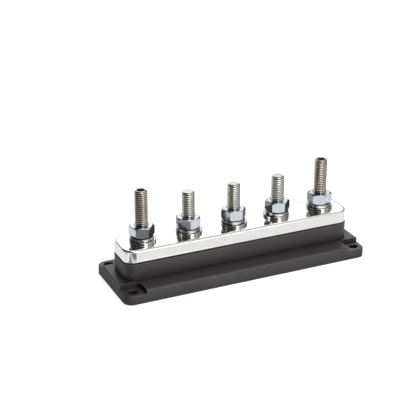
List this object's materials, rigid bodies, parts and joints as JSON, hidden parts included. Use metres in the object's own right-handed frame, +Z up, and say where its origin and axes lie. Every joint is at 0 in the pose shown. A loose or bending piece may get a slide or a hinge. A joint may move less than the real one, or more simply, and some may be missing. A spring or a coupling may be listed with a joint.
{
  "type": "bus bar",
  "caption": "Power distribution bus bar: a bright plated copper bar with a row of threaded terminal studs, washers and hex nuts, on a black moulded base with corner screw holes.",
  "frame": {"origin": "middle of the base's underside", "axes": "+X along the bar, +Y across it towards the back, +Z up along the studs"},
  "size_m": [0.2032, 0.0648, 0.0755],
  "materials": {
    "moulded_base": "fine moulded texture, dark charcoal",
    "plated_bar": "bright polished tin plate over copper",
    "end_studs": "stainless steel thread, slightly brown",
    "middle_studs": "stainless steel thread",
    "washers": "punched stainless steel",
    "spring_washers": "coiled stainless steel",
    "nuts": "bright zinc plate with a blue tint"
  },
  "bodies": {
    "base": {"base": "moulded_base", "bus_bar": "plated_bar", "stud_1": "end_studs", "stud_2": "middle_studs", "stud_3": "middle_studs", "stud_4": "middle_studs", "stud_5": "end_studs"},
    "washers_1": {"flat_washer_1": "washers", "lock_washer_1": "spring_washers"},
    "nut_1": {"nut_1": "nuts"},
    "washers_2": {"flat_washer_2": "washers", "lock_washer_2": "spring_washers"},
    "nut_2": {"nut_2": "nuts"},
    "washers_3": {"flat_washer_3": "washers", "lock_washer_3": "spring_washers"},
    "nut_3": {"nut_3": "nuts"},
    "washers_4": {"flat_washer_4": "washers", "lock_washer_4": "spring_washers"},
    "nut_4": {"nut_4": "nuts"},
    "washers_5": {"flat_washer_5": "washers", "lock_washer_5": "spring_washers"},
    "nut_5": {"nut_5": "nuts"}
  },
  "joints": [
    {"name": "washers_1_lift", "type": "slide", "parent": "base", "child": "washers_1", "axis": [0, 0, 1], "range_m": [0, 0.0255]},
    {"name": "nut_1_turn", "type": "hinge", "parent": "washers_1", "child": "nut_1", "pos_m": [-0.076, 0, 0.03963], "axis": [0, 0, 1], "range_deg": [0, 6120]},
    {"name": "washers_2_lift", "type": "slide", "parent": "base", "child": "washers_2", "axis": [0, 0, 1], "range_m": [0, 0.018]},
    {"name": "nut_2_turn", "type": "hinge", "parent": "washers_2", "child": "nut_2", "pos_m": [-0.038, 0, 0.03963], "axis": [0, 0, 1], "range_deg": [0, 4320]},
    {"name": "washers_3_lift", "type": "slide", "parent": "base", "child": "washers_3", "axis": [0, 0, 1], "range_m": [0, 0.018]},
    {"name": "nut_3_turn", "type": "hinge", "parent": "washers_3", "child": "nut_3", "pos_m": [0, 0, 0.03963], "axis": [0, 0, 1], "range_deg": [0, 4320]},
    {"name": "washers_4_lift", "type": "slide", "parent": "base", "child": "washers_4", "axis": [0, 0, 1], "range_m": [0, 0.018]},
    {"name": "nut_4_turn", "type": "hinge", "parent": "washers_4", "child": "nut_4", "pos_m": [0.038, 0, 0.03963], "axis": [0, 0, 1], "range_deg": [0, 4320]},
    {"name": "washers_5_lift", "type": "slide", "parent": "base", "child": "washers_5", "axis": [0, 0, 1], "range_m": [0, 0.0255]},
    {"name": "nut_5_turn", "type": "hinge", "parent": "washers_5", "child": "nut_5", "pos_m": [0.076, 0, 0.03963], "axis": [0, 0, 1], "range_deg": [0, 6120]}
  ],
  "couplings": [
    {"joint": "washers_1_lift", "follows": "nut_1_turn", "m_per_rad": 0.00023873},
    {"joint": "washers_2_lift", "follows": "nut_2_turn", "m_per_rad": 0.00023873},
    {"joint": "washers_3_lift", "follows": "nut_3_turn", "m_per_rad": 0.00023873},
    {"joint": "washers_4_lift", "follows": "nut_4_turn", "m_per_rad": 0.00023873},
    {"joint": "washers_5_lift", "follows": "nut_5_turn", "m_per_rad": 0.00023873}
  ]
}
